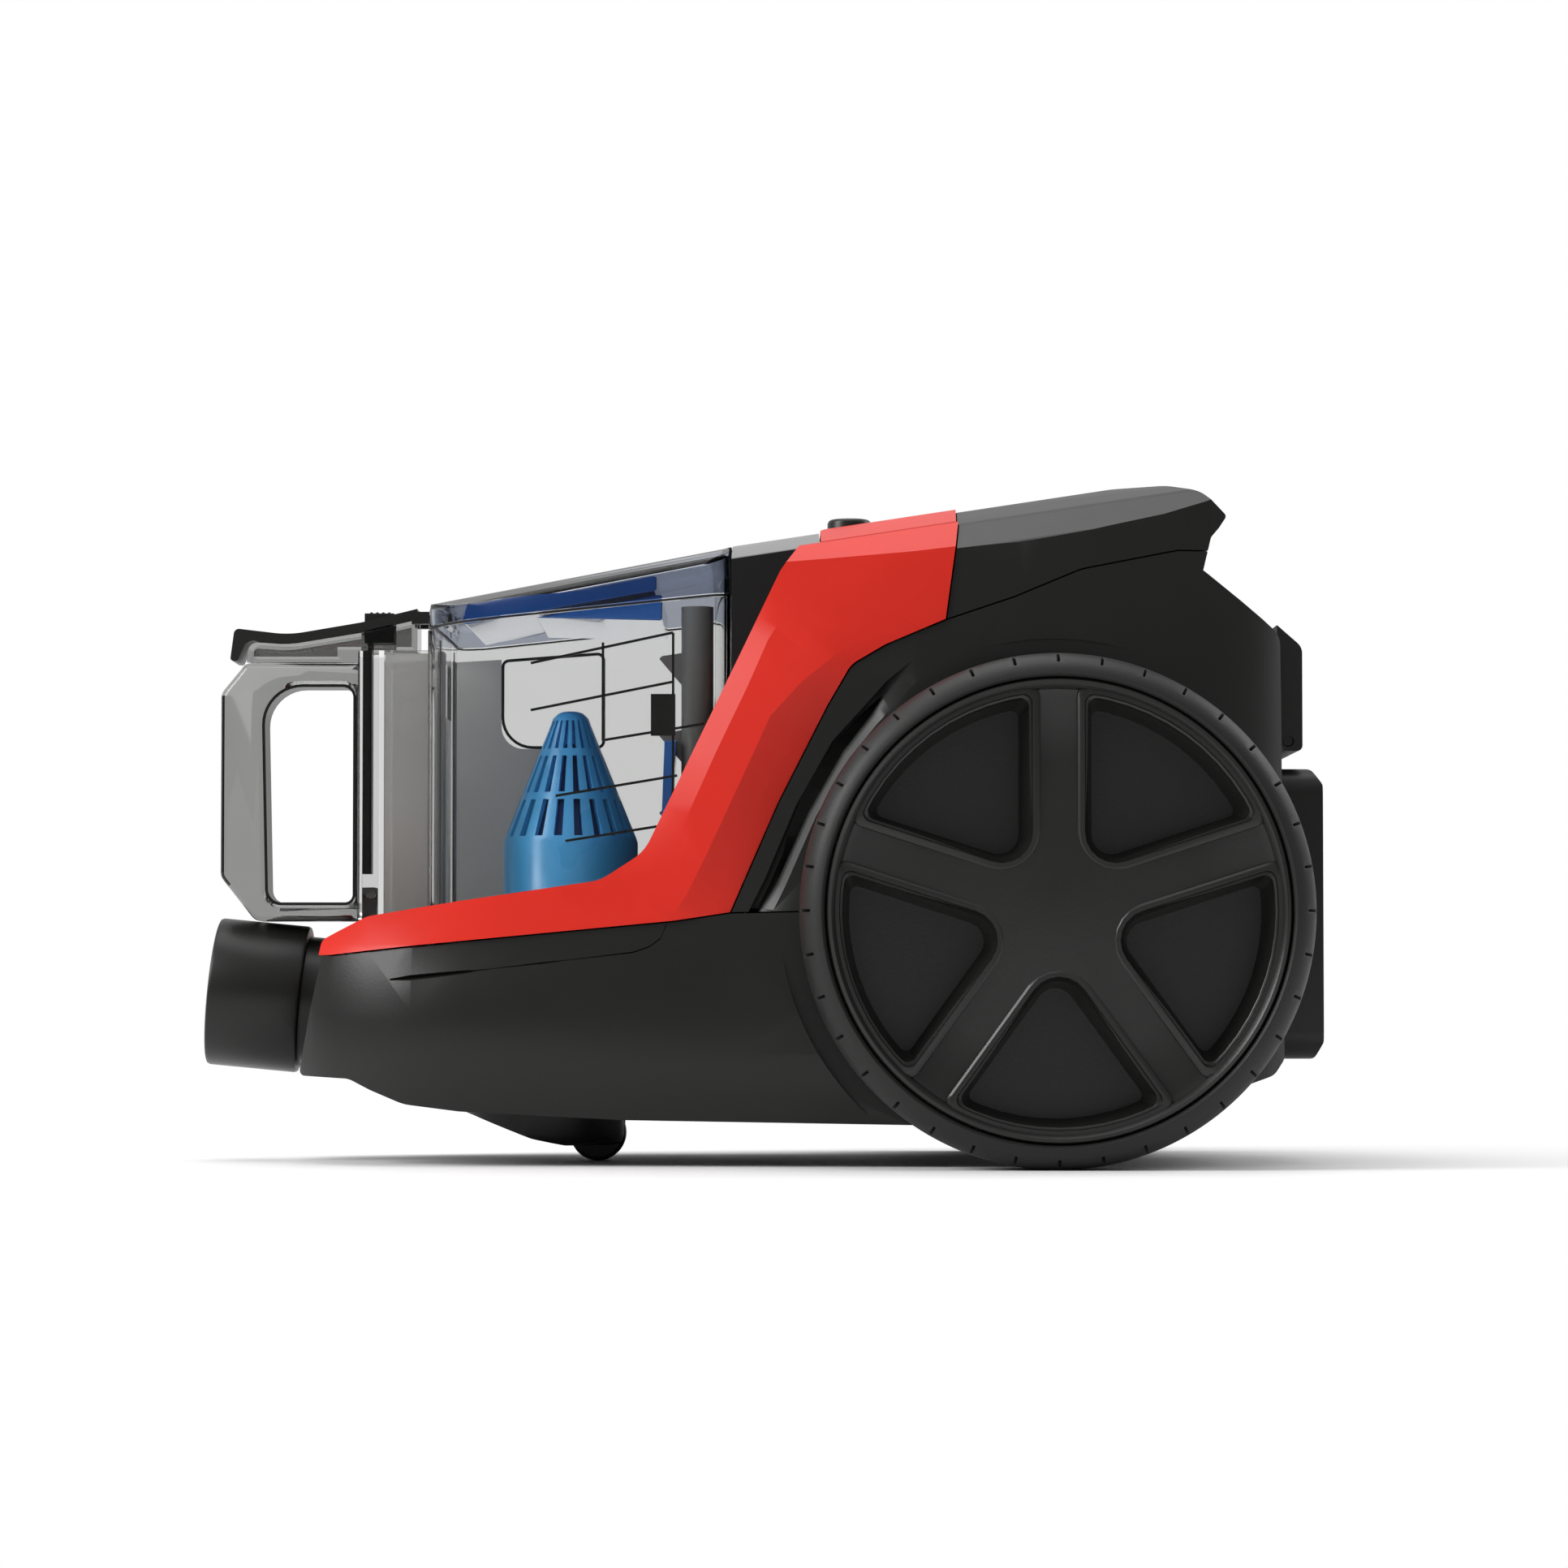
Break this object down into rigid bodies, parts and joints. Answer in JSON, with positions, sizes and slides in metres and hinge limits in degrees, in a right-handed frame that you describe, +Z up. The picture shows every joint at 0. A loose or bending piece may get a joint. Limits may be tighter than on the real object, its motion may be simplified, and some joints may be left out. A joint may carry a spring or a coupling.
{
  "type": "canister vacuum cleaner",
  "caption": "Bagless canister vacuum cleaner with a lift-off clear dust bin, large spoked rear wheels, a front swivel caster and a raised carrying handle.",
  "frame": {"origin": "on the floor, under the middle of the machine's length and width", "axes": "+X points to the rear, away from the hose inlet; +Y is across the machine along the wheel axles; +Z is up"},
  "size_m": [0.4087, 0.281, 0.2452],
  "materials": {
    "black_plastic": "satin moulded ABS",
    "gloss_black_plastic": "high gloss",
    "wheel_plastic": "satin moulded plastic",
    "red_plastic": "glossy moulded ABS",
    "clear_plastic": "clear, lightly smoked polycarbonate",
    "smoke_plastic": "smoked polycarbonate",
    "blue_plastic": "glossy",
    "dark_blue_plastic": "glossy",
    "rubber": "matte elastomer",
    "grey_plastic": "moulded",
    "steel": "bright steel",
    "impeller_aluminium": "pressed aluminium",
    "copper_winding": "lacquered copper winding on a laminated core",
    "filter_foam": "open-cell foam",
    "filter_paper": "pleated filter paper in a frame",
    "circuit_board": "resin board"
  },
  "bodies": {
    "body": {"chassis": "black_plastic", "chassis_screw_1": "steel", "chassis_screw_2": "steel", "chassis_screw_3": "steel", "chassis_screw_4": "steel", "bin_bay": "black_plastic", "nose_cover": "black_plastic", "wheel_arch_left": "black_plastic", "wheel_arch_right": "black_plastic", "side_trim_left": "red_plastic", "side_trim_right": "red_plastic", "bay_bezel": "gloss_black_plastic", "top_deck": "red_plastic", "handle_cover": "black_plastic", "rear_housing": "black_plastic", "cord_outlet_bush": "rubber", "rear_rest": "black_plastic", "inlet_tube": "black_plastic", "inlet_elbow": "grey_plastic", "inlet_seal": "rubber", "axle_left": "steel", "axle_right": "steel", "motor_housing": "grey_plastic", "motor_mount": "rubber", "fan_cover": "steel", "motor_can": "steel", "stator": "copper_winding", "control_board": "circuit_board", "power_switch": "grey_plastic", "reel_axle": "steel", "filter_tray": "grey_plastic", "motor_filter": "filter_foam", "exhaust_filter": "filter_paper", "exhaust_door_pin": "steel"},
    "wheel_left": {"wheel_disc_left": "wheel_plastic", "tyre_left": "rubber"},
    "wheel_right": {"wheel_disc_right": "wheel_plastic", "tyre_right": "rubber"},
    "caster_swivel": {"caster_pod": "black_plastic", "caster_pin": "steel", "caster_axle": "steel"},
    "caster_roller": {"caster_wheel": "rubber"},
    "bin": {"bin_shell": "clear_plastic", "bin_handle": "smoke_plastic", "handle_grip": "black_plastic", "cyclone_cone": "blue_plastic", "bin_outlet_seal": "rubber", "lid_hinge_pin": "steel"},
    "lid": {"bin_lid": "smoke_plastic", "lid_seal": "rubber", "lid_insert": "dark_blue_plastic"},
    "bin_release": {"bin_release_button": "black_plastic"},
    "bin_latch": {"bin_latch_hook": "grey_plastic"},
    "power_key": {"power_button": "black_plastic"},
    "rewind_key": {"rewind_button": "black_plastic"},
    "cord_brake": {"reel_brake": "grey_plastic"},
    "reel": {"reel_drum": "grey_plastic"},
    "motor_rotor": {"rotor": "copper_winding", "impeller": "impeller_aluminium"},
    "rear_door": {"exhaust_door": "black_plastic"}
  },
  "joints": [
    {"name": "wheel_left_spin", "type": "hinge", "parent": "body", "child": "wheel_left", "pos_m": [0.105, -0.1225, 0.09], "axis": [0, 1, 0], "continuous": true},
    {"name": "wheel_right_spin", "type": "hinge", "parent": "body", "child": "wheel_right", "pos_m": [0.105, 0.1225, 0.09], "axis": [0, 1, 0], "continuous": true},
    {"name": "caster_turn", "type": "hinge", "parent": "body", "child": "caster_swivel", "pos_m": [-0.0784, 0, 0.03], "axis": [0, 0, 1], "continuous": true},
    {"name": "caster_roll", "type": "hinge", "parent": "caster_swivel", "child": "caster_roller", "pos_m": [-0.0589, 0, 0.0103], "axis": [0, 1, 0], "continuous": true},
    {"name": "bin_lift", "type": "slide", "parent": "body", "child": "bin", "axis": [0, 0, 1], "range_m": [0, 0.16]},
    {"name": "lid_hinge", "type": "hinge", "parent": "bin", "child": "lid", "pos_m": [-0.1179, 0, 0.2], "axis": [0, -1, 0], "range_deg": [0, 95]},
    {"name": "bin_release_press", "type": "slide", "parent": "bin", "child": "bin_release", "axis": [0, 0, -1], "range_m": [0, 0.003], "stiffness_N_per_m": 600, "springref_m": -0.001},
    {"name": "bin_latch_turn", "type": "hinge", "parent": "bin", "child": "bin_latch", "pos_m": [-0.1424, 0, 0.0982], "axis": [0, -1, 0], "range_deg": [0, 8]},
    {"name": "power_press", "type": "slide", "parent": "body", "child": "power_key", "axis": [0, 0, -1], "range_m": [0, 0.003], "stiffness_N_per_m": 600, "springref_m": -0.001},
    {"name": "rewind_press", "type": "slide", "parent": "body", "child": "rewind_key", "axis": [0, 0, -1], "range_m": [0, 0.003], "stiffness_N_per_m": 600, "springref_m": -0.001},
    {"name": "cord_brake_turn", "type": "hinge", "parent": "body", "child": "cord_brake", "pos_m": [0.053, 0.054, 0.062], "axis": [0, 0, 1], "range_deg": [0, 6]},
    {"name": "reel_spin", "type": "hinge", "parent": "body", "child": "reel", "pos_m": [0.105, 0, 0.046], "axis": [0, 0, 1], "continuous": true},
    {"name": "rotor_spin", "type": "hinge", "parent": "body", "child": "motor_rotor", "pos_m": [0.055, 0, 0.127], "axis": [1, 0, 0], "continuous": true},
    {"name": "exhaust_door_hinge", "type": "hinge", "parent": "body", "child": "rear_door", "pos_m": [0.1924, 0, 0.153], "axis": [0, 1, 0], "range_deg": [0, 80]}
  ],
  "couplings": [
    {"joint": "bin_latch_turn", "follows": "bin_release_press", "rad_per_m": 46},
    {"joint": "cord_brake_turn", "follows": "rewind_press", "rad_per_m": 33}
  ]
}
